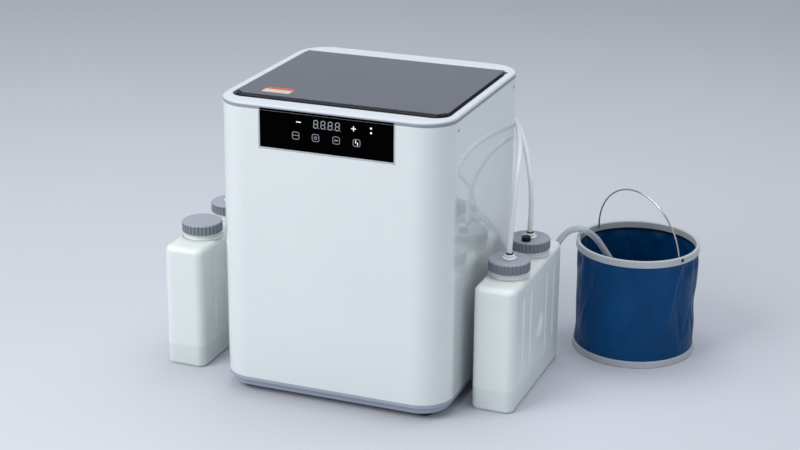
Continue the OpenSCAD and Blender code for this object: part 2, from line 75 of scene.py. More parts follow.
CAMERA_AT = (1111.7, -2760.5, 1318.5)
CAMERA_AZIMUTH = 21.016
CAMERA_ELEVATION = 19.559
CAMERA_ROLL = -0.52
CAMERA_LENS = 81.57


def make_camera():
    data = bpy.data.cameras.new("camera")
    data.lens = CAMERA_LENS
    data.sensor_width = 36
    data.clip_end = 50
    camera = bpy.data.objects.new("camera", data)
    bpy.context.collection.objects.link(camera)
    camera.location = place(*CAMERA_AT)
    a = math.radians(CAMERA_AZIMUTH)
    e = math.radians(CAMERA_ELEVATION)
    back = Vector((math.sin(a) * math.cos(e), -math.cos(a) * math.cos(e), math.sin(e)))
    roll = Quaternion((0, 0, 1), math.radians(-CAMERA_ROLL))
    camera.rotation_mode = "QUATERNION"
    camera.rotation_quaternion = back.to_track_quat("Z", "Y") @ roll
    bpy.context.scene.camera = camera


make_camera()

# --------------------------------------------------------------- materials


class Nodes:
    """A material's node tree, with short calls for what the recipes below share."""

    def __init__(self, name):
        self.material = bpy.data.materials.new(name)
        self.material.use_nodes = True
        self.tree = self.material.node_tree
        self.shader = self.tree.nodes["Principled BSDF"]
        coords = self.tree.nodes.new("ShaderNodeTexCoord")
        self.coords = coords.outputs["Object"]

    def link(self, a, b):
        self.tree.links.new(a, b)

    def set(self, **values):
        for key, value in values.items():
            self.shader.inputs[key.replace("_", " ")].default_value = value

    def stretched(self, scale):
        node = self.tree.nodes.new("ShaderNodeMapping")
        node.inputs["Scale"].default_value = scale
        self.link(self.coords, node.inputs["Vector"])
        return node.outputs["Vector"]

    def noise(self, scale, detail=3.0, rough=0.5, vector=None):
        node = self.tree.nodes.new("ShaderNodeTexNoise")
        node.inputs["Scale"].default_value = scale
        node.inputs["Detail"].default_value = detail
        node.inputs["Roughness"].default_value = rough
        self.link(vector or self.coords, node.inputs["Vector"])
        return node.outputs["Fac"]

    def ramp(self, source, stops):
        node = self.tree.nodes.new("ShaderNodeValToRGB")
        while len(node.color_ramp.elements) < len(stops):
            node.color_ramp.elements.new(0.5)
        for element, (at, colour) in zip(node.color_ramp.elements, stops):
            element.position = at
            element.color = colour if len(colour) == 4 else (*colour, 1)
        self.link(source, node.inputs["Fac"])
        return node.outputs["Color"]

    def spread(self, source, low, high):
        node = self.tree.nodes.new("ShaderNodeMapRange")
        node.inputs["From Min"].default_value = 0.3
        node.inputs["From Max"].default_value = 0.7
        node.inputs["To Min"].default_value = low
        node.inputs["To Max"].default_value = high
        self.link(source, node.inputs["Value"])
        return node.outputs["Result"]

    def bump(self, source, strength, distance, base=None):
        node = self.tree.nodes.new("ShaderNodeBump")
        node.inputs["Strength"].default_value = strength
        node.inputs["Distance"].default_value = distance
        self.link(source, node.inputs["Height"])
        if base:
            self.link(base, node.inputs["Normal"])
        self.link(node.outputs["Normal"], self.shader.inputs["Normal"])
        return node.outputs["Normal"]

    def math(self, operation, a, b):
        node = self.tree.nodes.new("ShaderNodeMath")
        node.operation = operation
        for socket, value in zip(node.inputs, (a, b)):
            if isinstance(value, (int, float)):
                socket.default_value = value
            else:
                self.link(value, socket)
        return node.outputs["Value"]

    def height(self):
        node = self.tree.nodes.new("ShaderNodeSeparateXYZ")
        self.link(self.coords, node.inputs["Vector"])
        return node.outputs["Z"]


def shade(colour, factor):
    return tuple(min(1.0, c * factor) for c in colour)


def plastic(name, colour, rough=0.4, grain=900, bump=0.08, vary=0.05, coat=0.0, specular=0.5):
    """Moulded plastic: faint colour drift, uneven gloss and a fine moulded grain."""
    n = Nodes(name)
    drift = n.noise(9, 4)
    n.link(n.ramp(drift, [(0.3, shade(colour, 1 - vary)), (0.7, shade(colour, 1 + vary))]),
           n.shader.inputs["Base Color"])
    n.link(n.spread(n.noise(45, 5), rough * 0.85, rough * 1.15), n.shader.inputs["Roughness"])
    n.bump(n.noise(grain, 2), bump, 0.0002)
    n.set(IOR=1.47, Coat_Weight=coat, Coat_Roughness=0.08, Specular_IOR_Level=specular)
    return n.material


def metal(name, colour, rough=0.3, brushed=(400, 400, 6), bump=0.05):
    """Bare metal with a brushed or drawn grain along one direction."""
    n = Nodes(name)
    streak = n.noise(1, 6, 0.6, n.stretched(brushed))
    n.link(n.ramp(streak, [(0.3, shade(colour, 0.86)), (0.7, shade(colour, 1.08))]),
           n.shader.inputs["Base Color"])
    n.link(n.spread(streak, rough * 0.75, rough * 1.3), n.shader.inputs["Roughness"])
    n.bump(streak, bump, 0.0002)
    n.set(Metallic=1.0)
    return n.material


def rubber(name, colour):
    n = Nodes(name)
    n.link(n.ramp(n.noise(30, 5), [(0.3, shade(colour, 0.8)), (0.75, shade(colour, 1.5))]),
           n.shader.inputs["Base Color"])
    n.link(n.spread(n.noise(80, 4), 0.62, 0.85), n.shader.inputs["Roughness"])
    n.bump(n.noise(1400, 3), 0.25, 0.0002)
    return n.material


def glossy_sheet(name, colour, rough, smear=0.04, specular=0.5, coat=0.5, vary=0.012, wobble=0.006):
    """Polished sheet with faint wiping marks in its gloss."""
    n = Nodes(name)
    marks = n.noise(1, 5, 0.6, n.stretched((9, 9, 9)))
    n.link(n.ramp(marks, [(0.3, shade(colour, 1 - vary)), (0.7, shade(colour, 1 + vary))]),
           n.shader.inputs["Base Color"])
    n.link(n.spread(marks, rough, rough + smear), n.shader.inputs["Roughness"])
    n.bump(n.noise(3, 1), wobble, 0.001)
    n.set(IOR=1.5, Coat_Weight=coat, Coat_Roughness=0.04, Specular_IOR_Level=specular)
    return n.material


def milk_plastic(name, liquid_top):
    """Blow-moulded natural polyethylene, darker where liquid stands behind it."""
    n = Nodes(name)
    level = n.math("ADD", n.height(), n.math("MULTIPLY", n.noise(20, 2), 0.002))
    wet = n.tree.nodes.new("ShaderNodeMapRange")
    wet.inputs["From Min"].default_value = liquid_top * MM - 0.0015
    wet.inputs["From Max"].default_value = liquid_top * MM + 0.0025
    n.link(level, wet.inputs["Value"])
    n.link(n.ramp(wet.outputs["Result"], [(0.0, (0.70, 0.745, 0.74)), (1.0, (0.765, 0.81, 0.805))]),
           n.shader.inputs["Base Color"])
    n.link(n.spread(n.noise(60, 4), 0.30, 0.42), n.shader.inputs["Roughness"])
    skin = n.bump(n.noise(7, 3), 0.25, 0.004)
    n.bump(n.noise(700, 2), 0.05, 0.0002, skin)
    n.set(Subsurface_Weight=0.55, Subsurface_Radius=(0.5, 0.55, 0.6), Subsurface_Scale=0.012,
          IOR=1.5)
    return n.material


def clear_hose(name, colour, haze):
    """Translucent silicone: a milky skin over a clear wall."""
    n = Nodes(name)
    n.link(n.ramp(n.noise(30, 3), [(0.3, shade(colour, 0.95)), (0.7, colour)]),
           n.shader.inputs["Base Color"])
    n.link(n.spread(n.noise(60, 3), 0.14, 0.24), n.shader.inputs["Roughness"])
    n.bump(n.noise(500, 2), 0.05, 0.0002)
    n.set(Transmission_Weight=haze, IOR=1.4, Subsurface_Weight=0.3,
          Subsurface_Radius=(0.6, 0.65, 0.7), Subsurface_Scale=0.004)
    return n.material


def coated_fabric(name, colour):
    """Tightly woven nylon with a glossy coating: weave, soft creases and worn folds."""
    n = Nodes(name)
    drift = n.noise(11, 5, 0.6)
    n.link(n.ramp(drift, [(0.25, shade(colour, 0.80)), (0.55, colour), (0.8, shade(colour, 1.25))]),
           n.shader.inputs["Base Color"])
    n.link(n.spread(n.noise(35, 4), 0.34, 0.48), n.shader.inputs["Roughness"])
    weave = []
    for direction in ("Z", "DIAGONAL"):
        wave = n.tree.nodes.new("ShaderNodeTexWave")
        wave.wave_type = "BANDS"
        wave.bands_direction = direction
        wave.inputs["Scale"].default_value = 520
        wave.inputs["Distortion"].default_value = 0.3
        n.link(n.coords, wave.inputs["Vector"])
        weave.append(wave.outputs["Fac"])
    creases = n.bump(n.noise(26, 4, 0.6), 0.22, 0.004)
    n.bump(n.math("MAXIMUM", *weave), 0.03, 0.0001, creases)
    n.set(Specular_IOR_Level=0.16, IOR=1.45)
    return n.material


def glow(name, colour, strength):
    n = Nodes(name)
    n.link(n.ramp(n.noise(400, 1), [(0.2, shade(colour, 0.9)), (0.8, colour)]),
           n.shader.inputs["Base Color"])
    n.set(Emission_Color=(*colour, 1), Emission_Strength=strength, Roughness=0.4)
    return n.material


WHITE = glossy_sheet("body_white", (0.735, 0.785, 0.79), 0.05, 0.02, coat=0.7, wobble=0.001)
FRAME_TOP = plastic("frame_top", (0.61, 0.65, 0.70), 0.42, bump=0.03, vary=0.012)
FRAME_SIDE = plastic("frame_side", (0.30, 0.33, 0.385), 0.45, bump=0.03, vary=0.015, specular=0.3)
BEZEL = plastic("bezel_grey", (0.47, 0.50, 0.56), 0.28, vary=0.02, coat=0.3)
PLINTH = plastic("plinth_grey", (0.34, 0.38, 0.47), 0.38)
GLASS = glossy_sheet("display_black", (0.001, 0.001, 0.0012), 0.18, 0.02, specular=0.0, coat=0)
LID_SHEET = glossy_sheet("lid_sheet", (0.078, 0.087, 0.118), 0.14, vary=0.03, coat=0.3)
BLACK = plastic("black_plastic", (0.004, 0.004, 0.006), 0.30, specular=0.2)
REAR = plastic("rear_steel", (0.60, 0.63, 0.66), 0.45, grain=500, bump=0.2)
STEEL = metal("stainless", (0.62, 0.62, 0.63), 0.28)
WIRE = metal("wire_steel", (0.60, 0.60, 0.61), 0.18, (300, 300, 300), 0.02)
ALLOY = metal("alloy", (0.66, 0.67, 0.69), 0.35, (8, 300, 300))
ZINC = metal("zinc", (0.50, 0.51, 0.53), 0.35, (120, 120, 120))
MOTOR = plastic("motor_black", (0.05, 0.052, 0.056), 0.42)
PUMP = plastic("pump_plastic", (0.09, 0.095, 0.10), 0.45)
BRASS = metal("brass", (0.66, 0.47, 0.20), 0.3, (90, 90, 90))
BOARD = plastic("board_green", (0.012, 0.09, 0.04), 0.4, grain=2500, bump=0.2)
RUBBER = rubber("rubber_black", (0.022, 0.022, 0.024))
# One cap plastic in two copies: the lighter top copy is a painted sheen and the darker knurled-grip copy is
# painted shade.
CAP_SHEEN_TOP = plastic("cap_grey", (0.35, 0.38, 0.435), 0.36, grain=700, bump=0.12)
CAP_SHADED_GRIP = plastic("cap_grip_painted_shade", (0.20, 0.22, 0.26), 0.5, grain=700, bump=0.12)
FITTING = plastic("fitting_white", (0.82, 0.84, 0.85), 0.35)
RING = plastic("ring_grey", (0.47, 0.50, 0.53), 0.42, grain=800, bump=0.12)
TANK = milk_plastic("tank_plastic", 40)
SUPPLY_HOSE = clear_hose("supply_hose", (0.90, 0.93, 0.95), 0.10)
DRAIN_HOSE = clear_hose("drain_hose_clear", (0.86, 0.90, 0.94), 0.62)
FABRIC = coated_fabric("bucket_fabric", (0.0, 0.054, 0.175))
DIGITS = glow("display_white", (0.66, 0.68, 0.72), 0.75)
DIM = glow("display_dim", (0.30, 0.31, 0.35), 0.30)
RED = plastic("label_red", (0.55, 0.10, 0.05), 0.4)
BEIGE = plastic("label_beige", (0.62, 0.52, 0.40), 0.45)

# ------------------------------------------------------------ mesh helpers


def build(name, verts, faces, body, slot, materials, face_materials=None, replaces=(),
          smooth_angle=40, weighted=True):
    """A mesh piece from points in millimetres, riding on a CAD body."""
    mesh = bpy.data.meshes.new(name)
    mesh.from_pydata([place(*v) for v in verts], [], faces)
    if face_materials:
        for polygon, index in zip(mesh.polygons, face_materials):
            polygon.material_index = index
    clean = bmesh.new()
    clean.from_mesh(mesh)
    bmesh.ops.remove_doubles(clean, verts=clean.verts, dist=1e-6)
    bmesh.ops.recalc_face_normals(clean, faces=clean.faces)
    clean.to_mesh(mesh)
    clean.free()
    mesh.polygons.foreach_set("use_smooth", [True] * len(mesh.polygons))
    mesh.set_sharp_from_angle(angle=math.radians(smooth_angle))
    piece = bpy.data.objects.new(name, mesh)
    bpy.context.collection.objects.link(piece)
    for material in materials:
        mesh.materials.append(material)
    if weighted:
        modifier = piece.modifiers.new("weighted", "WEIGHTED_NORMAL")
        modifier.keep_sharp = True
    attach(piece, body)
    if replaces:
        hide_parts(*replaces)
    return piece


def rounded(x0, x1, y0, y1, radii, steps=10):
    """A rectangle with round corners, counter-clockwise from the front right corner."""
    if isinstance(radii, (int, float)):
        radii = [radii] * 4
    centres = [(x1, y0, 1, -1), (x1, y1, 1, 1), (x0, y1, -1, 1), (x0, y0, -1, -1)]
    points = []
    for k, ((x, y, sx, sy), r) in enumerate(zip(centres, radii)):
        r = max(r, 0.05)
        for i in range(steps + 1):
            a = math.radians(-90 + 90 * k + 90 * i / steps)
            points.append((x - sx * r + r * math.cos(a), y - sy * r + r * math.sin(a)))
    return points


def inset_ring(box, radii, inset, z, steps=10):
    x0, x1, y0, y1 = box
    if isinstance(radii, (int, float)):
        radii = [radii] * 4
    flat = rounded(x0 + inset, x1 - inset, y0 + inset, y1 - inset,
                   [max(r - inset, 0.05) for r in radii], steps)
    return [(x, y, z) for x, y in flat]


def circle_ring(x, y, r, z, n):
    return [(x + r * math.cos(2 * math.pi * i / n), y + r * math.sin(2 * math.pi * i / n), z)
            for i in range(n)]


def loft(rings, first=True, last=True, closed=False):
    """Points and faces of a skin through rings of equal length, and each face's ring number."""
    n = len(rings[0])
    verts = [p for ring in rings for p in ring]
    faces = []
    owner = []
    pairs = len(rings) if closed else len(rings) - 1
    for r in range(pairs):
        a = r * n
        b = ((r + 1) % len(rings)) * n
        for i in range(n):
            j = (i + 1) % n
            faces.append((a + i, a + j, b + j, b + i))
            owner.append(r)
    if not closed and first:
        faces.append(tuple(reversed(range(n))))
        owner.append(0)
    if not closed and last:
        faces.append(tuple((len(rings) - 1) * n + i for i in range(n)))
        owner.append(len(rings) - 2)
    return verts, faces, owner


def joined(*parts):
    """Several (points, faces) skins as one."""
    verts = []
    faces = []
    for v, f in parts:
        base = len(verts)
        verts += v
        faces += [tuple(i + base for i in face) for face in f]
    return verts, faces


def fillet(inset, z, r, quarter, steps=4):
    """Insets and heights round a convex edge. quarter: 0 turns from the underside out to the
    side, 1 from the side in to the top."""
    points = []
    for i in range(steps + 1):
        a = math.radians(90 * i / steps)
        if quarter == 0:
            points.append((inset + r - r * math.sin(a), z + r - r * math.cos(a)))
        else:
            points.append((inset + r - r * math.cos(a), z - r + r * math.sin(a)))
    return points


def lathe(x, y, profile, n=64, first=True, last=True):
    rings = [circle_ring(x, y, r, z, n) for r, z in profile]
    verts, faces, _ = loft(rings, first, last)
    return verts, faces


def block_shape(x0, x1, y0, y1, z0, z1):
    verts = [(x, y, z) for x in (x0, x1) for y in (y0, y1) for z in (z0, z1)]
    return verts, [(0, 1, 3, 2), (4, 6, 7, 5), (0, 4, 5, 1), (2, 3, 7, 6), (0, 2, 6, 4), (1, 5, 7, 3)]


def rod_shape(y, z, radius, x0, x1, sides=32):
    angles = [2 * math.pi * k / sides for k in range(sides)]
    rings = [[(x, y + radius * math.cos(a), z + radius * math.sin(a)) for a in angles] for x in (x0, x1)]
    return loft(rings)[:2]


def cut(piece, *shapes):
    """Cuts closed shapes, in millimetres, out of a piece and keeps the result."""
    cutters = []
    for verts, faces in shapes:
        mesh = bpy.data.meshes.new("cutter")
        mesh.from_pydata([place(*v) for v in verts], [], faces)
        fix = bmesh.new()
        fix.from_mesh(mesh)
        bmesh.ops.recalc_face_normals(fix, faces=fix.faces)
        fix.to_mesh(mesh)
        fix.free()
        cutter = bpy.data.objects.new("cutter", mesh)
        bpy.context.collection.objects.link(cutter)
        cutters.append(cutter)
        modifier = piece.modifiers.new("cut", "BOOLEAN")
        modifier.operation = "DIFFERENCE"
        modifier.solver = "EXACT"
        modifier.object = cutter
        while piece.modifiers.find("cut") > 0:
            piece.modifiers.move(piece.modifiers.find(modifier.name), 0)
    apply_modifiers(piece)
    for cutter in cutters:
        bpy.data.objects.remove(cutter)
    piece.data.set_sharp_from_angle(angle=math.radians(40))
    modifier = piece.modifiers.new("weighted", "WEIGHTED_NORMAL")
    modifier.keep_sharp = True


def apply_modifiers(piece):
    for modifier in [m for m in piece.modifiers if m.type == "WEIGHTED_NORMAL"]:
        piece.modifiers.remove(modifier)
    bpy.context.view_layer.update()
    evaluated = piece.evaluated_get(bpy.context.evaluated_depsgraph_get())
    mesh = bpy.data.meshes.new_from_object(evaluated)
    piece.modifiers.clear()
    piece.data = mesh


# ------------------------------------------------------------------- hoses

ROUTES = {
    "left_rear_hose": [[-302, 56.4, 259], [-302, 56.4, 270], [-300, 58, 289], [-294, 65, 312],
        [-285, 78, 333], [-272, 97, 351], [-258, 120, 364], [-245, 146, 371], [-233, 173, 374],
        [-221, 200, 373], [-208, 226, 370], [-193, 250, 364], [-174, 269, 356], [-151, 277, 347],
        [-129, 270, 338], [-115, 254, 332], [-110, 237, 330], [-110, 224, 330]],
    "right_front_hose": [[262, -35.4, 259], [262, -35.4, 270], [262, -32, 290], [262, -22, 328],
        [259, -3, 370], [253, 30, 398], [241, 72, 412], [227, 111, 419], [212, 152, 421],
        [196, 189, 420], [176, 216, 415], [154, 239, 404], [135, 256, 388], [120, 265, 369],
        [112, 261, 349], [110, 245, 335], [110, 224, 330]],
    "right_rear_hose": [[262, 79.4, 259], [262, 79.4, 270], [262, 82, 289], [259, 90, 327],
        [251, 104, 354], [236, 132, 380], [219, 165, 394], [203, 198, 400], [188, 229, 402],
        [171, 259, 400], [149, 282, 393], [125, 296, 381], [102, 299, 366], [84, 290, 351],
        [73, 272, 339], [70, 250, 332], [70, 237, 330], [70, 224, 330]],
    "drain_hose": [[110, 224, 120], [110, 240, 120], [116, 263, 115], [133, 281, 107],
        [155, 288, 99], [178, 288, 95], [202, 280, 100], [225, 268, 115], [243, 258, 138],
        [257, 252, 163], [270, 250, 189], [288, 249, 208], [311, 249, 213], [333, 249, 202],
        [350, 250, 182], [366, 252, 158], [386, 256, 121], [397, 259, 96], [404, 262, 67],
        [407, 264, 38], [407, 265, 13]],
}
SUPPLY_D = 9.4
DRAIN_D = 12.0


def smooth_line(points, per_span=6):
    """A Catmull-Rom line through the points."""
    p = [Vector(q) for q in points]
    p = [2 * p[0] - p[1]] + p + [2 * p[-1] - p[-2]]
    line = []
    for i in range(1, len(p) - 2):
        for k in range(per_span):
            t = k / per_span
            line.append(0.5 * (2 * p[i] + (p[i + 1] - p[i - 1]) * t
                               + (2 * p[i - 1] - 5 * p[i] + 4 * p[i + 1] - p[i + 2]) * t * t
                               + (3 * p[i] - p[i - 1] - 3 * p[i + 1] + p[i + 2]) * t ** 3))
    line.append(p[-2])
    return line


def swept(line, radius, sides, end_in=0.0):
    """A round tube along a line, its cross-sections carried along without twisting. end_in is
    how deep the open bore shows at each end."""
    rings = []
    up = None
    count = len(line)
    for i, p in enumerate(line):
        ahead = (line[min(i + 1, count - 1)] - line[max(i - 1, 0)]).normalized()
        if up is None:
            up = ahead.orthogonal().normalized()
        up = (up - ahead * up.dot(ahead)).normalized()
        side = ahead.cross(up)
        rings.append([p + radius * (math.cos(a) * up + math.sin(a) * side)
                      for a in (2 * math.pi * k / sides for k in range(sides))])
    if end_in:
        inner = []
        for ring, p, q in ((rings[0], line[0], line[2]), (rings[-1], line[-1], line[-3])):
            lip = [p + (v - p) * 0.72 for v in ring]
            inner.append((lip, [v + (q - p).normalized() * end_in for v in lip]))
        rings = [inner[0][1], inner[0][0]] + rings + [inner[1][0], inner[1][1]]
    return rings


def make_hose(name, diameter, material, end_in):
    line = smooth_line(ROUTES[name])
    verts, faces, _ = loft([[tuple(v) for v in ring]
                            for ring in swept(line, diameter / 2, 20, end_in)])
    piece = build(name + "_tube", verts, faces, "station", "hose_clear", [material],
                  replaces=[name], weighted=False)
    return piece


for hose in ("left_rear_hose", "right_front_hose", "right_rear_hose"):
    make_hose(hose, SUPPLY_D, SUPPLY_HOSE, 0)
make_hose("drain_hose", DRAIN_D, DRAIN_HOSE, 14)

# ----------------------------------------------------------------- housing

shell_lo, shell_hi = node_mm("outer_shell")
frame_hi = node_mm("top_frame")[1]
BODY = (shell_lo[0], shell_hi[0], shell_lo[1], shell_hi[1])
BODY_LOW = shell_lo[2]
BODY_TOP = shell_hi[2]
FRAME_TOP_Z = frame_hi[2]
CORNER = 56
WALL = 3
FOOT_AT = 160
RIM = 2.9
VENT_AREA = (-140, 140, 60, 460)
SCREW_Y, SCREW_Z, SCREW_HOLE = 143, 495.5, 3.5
DIGITS_Z = 495
ICONS_Z = 472.5
glass_lo, glass_hi = node_mm("display_glass")
GLASS_X0, GLASS_X1 = glass_lo[0], glass_hi[0]
GLASS_Z0, GLASS_Z1 = glass_lo[2], glass_hi[2]
FRONT = BODY[2]
REAR_Y = BODY[3]


def make_shell():
    profile = fillet(0, BODY_LOW, 0.8, 0) + fillet(0, BODY_TOP, 0.6, 1)
    profile += [(WALL, BODY_TOP), (WALL, BODY_LOW)]
    verts, faces, _ = loft([inset_ring(BODY, CORNER, i, z, 20) for i, z in profile], closed=True)
    piece = build("shell_skin", verts, faces, "station", "body_white", [WHITE],
                  replaces=["outer_shell"])
    vent_x0, vent_x1, vent_z0, vent_z1 = VENT_AREA
    cut(piece,
        block_shape(GLASS_X0 - RIM, GLASS_X1 + RIM, FRONT - 5, FRONT + 8, GLASS_Z0 - RIM, BODY_TOP + 5),
        block_shape(vent_x0, vent_x1, REAR_Y - 8, REAR_Y + 5, vent_z0, vent_z1),
        *[rod_shape(y, SCREW_Z, SCREW_HOLE, side - 5, side + 5)
          for side in BODY[:2] for y in (-SCREW_Y, SCREW_Y)])


OPENING = (-191.5, 191.5, -167.5, 153.8)
OPENING_R = (26, 2.0, 2.0, 26)


def make_top_frame():
    z = FRAME_TOP_Z
    low = BODY_TOP
    outer = [(0.9, low + 0.05), (0.3, low + 0.35), (0, low + 1.0), (0, z - 3.6)]
    outer += fillet(0, z, 3.6, 1, 6)
    rings = [inset_ring(BODY, CORNER, i, h, 20) for i, h in outer]
    for i, h in ((-1.6, z), (-0.6, z - 0.25), (0, z - 0.9), (0, low + 0.05)):
        rings.append(inset_ring(OPENING, OPENING_R, i, h, 20))
    verts, faces, owner = loft(rings, closed=True)
    materials = [1 if r < 4 else 0 for r in owner]
    piece = build("top_frame_skin", verts, faces, "station", "frame_grey",
                  [FRAME_TOP, FRAME_SIDE], materials, replaces=["top_frame"])
    cut(piece, block_shape(GLASS_X0 - 0.2, GLASS_X1 + 0.2, FRONT - 5, FRONT + 3.3, BODY_TOP - 2,
                           GLASS_Z1 + 0.2))


def make_plinth():
    band = node_mm("base_plinth")
    top = band[1][2]
    low = band[0][2]
    mid = 23.4
    profile = [(20, low), (9.5, low), (8.2, low + 0.5), (7.2, low + 1.6), (7, low + 3), (7, mid - 1.6)]
    profile += [(6.4, mid - 0.8), (3.0, mid - 0.6)]
    profile += fillet(0, mid - 0.2, 1.6, 0)
    profile += fillet(0.1, top, 1.2, 1)
    profile += [(WALL, top), (16, top), (16, low + 3)]
    verts, faces, _ = loft([inset_ring(BODY, CORNER, i, z, 20) for i, z in profile])
    build("plinth_skin", verts, faces, "station", "plinth_grey", [PLINTH], replaces=["base_plinth"])
    feet = []
    for x in (-FOOT_AT, FOOT_AT):
        for y in (-FOOT_AT, FOOT_AT):
            profile = [(11, 0.0), (12.4, 0.25), (13, 1.0), (13.2, 2.4), (15, 4.2), (15, 10.6), (14, low)]
            feet.append(lathe(x, y, profile, 40))
    build("rubber_feet", *joined(*feet), "station", "rubber_black", [RUBBER], replaces=["feet"])


def tile(x, z, w, h, corner, y0, y1, steps=4):
    """A small round-cornered plate standing on the front face."""
    box = (x - w / 2, x + w / 2, z - h / 2, z + h / 2)
    flat = rounded(*box, corner, steps)
    rings = [[(a, y, b) for a, b in flat] for y in (y1, y0)]
    return loft(rings)[:2]


def ring_tile(x, z, w, h, corner, line, y0, y1):
    outer = (x - w / 2, x + w / 2, z - h / 2, z + h / 2)
    rings = []
    for inset, y in ((0, y1), (0, y0), (line, y0), (line, y1)):
        flat = rounded(outer[0] + inset, outer[1] - inset, outer[2] + inset, outer[3] - inset,
                       max(corner - inset, 0.2), 5)
        rings.append([(a, y, b) for a, b in flat])
    return loft(rings, closed=True)[:2]


def slanted(part, lean):
    """Leans a part on the front face to the right, as seven-segment digits are."""
    verts, faces = part
    return [(x + (z - DIGITS_Z) * lean, y, z) for x, y, z in verts], faces


def make_display():
    x0, x1, z0, z1 = GLASS_X0, GLASS_X1, GLASS_Z0, GLASS_Z1
    outer = (x0 - 2.8, x1 + 2.8, z0 - 2.8, BODY_TOP - 0.1)
    rings = []
    profile = [(0, 8.5), (0, 0.35), (0.25, 0.05), (0.7, -0.15), (2.1, -0.15), (2.5, 0.1), (2.65, 0.6),
               (2.65, 8.5)]
    for inset, depth in profile:
        flat = rounded(outer[0] + inset, outer[1] - inset, outer[2] + inset, outer[3] - 0.1 * inset,
                       (max(3.6 - inset, 0.8), 0.3, 0.3, max(3.6 - inset, 0.8)), 6)
        rings.append([(a, FRONT + depth, b) for a, b in flat])
    verts, faces, _ = loft(rings, closed=True)
    build("bezel_rim", verts, faces, "station", "frame_grey", [BEZEL], replaces=["display_bezel"])

    profile = [(0, 3.0), (0, 0.45), (0.15, 0.15), (0.45, 0.0)]
    rings = [[(a, FRONT + depth, b) for a, b in
              rounded(x0 + i, x1 - i, z0 + i, z1 - i, (1.6, 1.6, 1.6, 1.6), 6)]
             for i, depth in profile]
    verts, faces, _ = loft(rings)
    build("touch_glass", verts, faces, "station", "black_glass", [GLASS], replaces=["display_glass"])

    ink_out, ink_in = FRONT - 0.08, FRONT + 0.1
    bars = []
    for k in range(4):
        x = -18.6 + 12.6 * k
        for z in (489.2, 495.5, 501.8):
            bars.append(slanted(tile(x, z, 5.6, 1.25, 0.6, ink_out, ink_in), 0.06))
        for sx in (-1, 1):
            for z in (492.35, 498.65):
                bars.append(slanted(tile(x + sx * 3.4, z, 1.25, 5.2, 0.6, ink_out, ink_in), 0.06))
        bars.append(tile(x + 5.6, 488.8, 1.1, 1.1, 0.5, ink_out, ink_in))
    build("display_digits", *joined(*bars), "station", "black_glass", [DIM], weighted=False)
    marks = [tile(-48.7, 495.8, 8.2, 1.6, 0.3, ink_out, ink_in),
             tile(47.2, 495.4, 8.2, 1.6, 0.3, ink_out, ink_in),
             tile(47.2, 495.4, 1.6, 8.2, 0.3, ink_out, ink_in),
             tile(77.2, 499.4, 3.4, 3.4, 1.7, ink_out, ink_in),
             tile(77.4, 491.8, 3.4, 3.4, 1.7, ink_out, ink_in)]
    build("display_marks", *joined(*marks), "station", "black_glass", [DIGITS], weighted=False)
    icons = [ring_tile(x, ICONS_Z, 12.6, 12.6, 3.4, 0.8, ink_out, ink_in)
             for x in (-54, -19, 17, 52.5)]
    icons.append(tile(-54, 473, 10.5, 0.8, 0.2, ink_out, ink_in))
    icons.append(ring_tile(-19, ICONS_Z, 5.2, 5.2, 2.6, 0.9, ink_out, ink_in))
    icons.append(ring_tile(15.4, ICONS_Z, 3.6, 3.6, 1.8, 0.7, ink_out, ink_in))
    icons.append(tile(19, ICONS_Z, 3.4, 1.4, 0.6, ink_out, ink_in))
    build("display_icons", *joined(*icons), "station", "black_glass", [DIM], weighted=False)
    arcs = [tile(51, 474.2, 1.4, 5.2, 0.6, ink_out, ink_in), tile(54, 470.8, 1.4, 5.2, 0.6, ink_out, ink_in)]
    build("display_bright_icon", *joined(*arcs), "station", "black_glass", [DIGITS], weighted=False)


make_shell()
make_top_frame()
make_plinth()
make_display()

# --------------------------------------------------------------------- lid

lid_lo, lid_hi = node_mm("lid_frame")
sheet_lo, sheet_hi = node_mm("lid_panel")


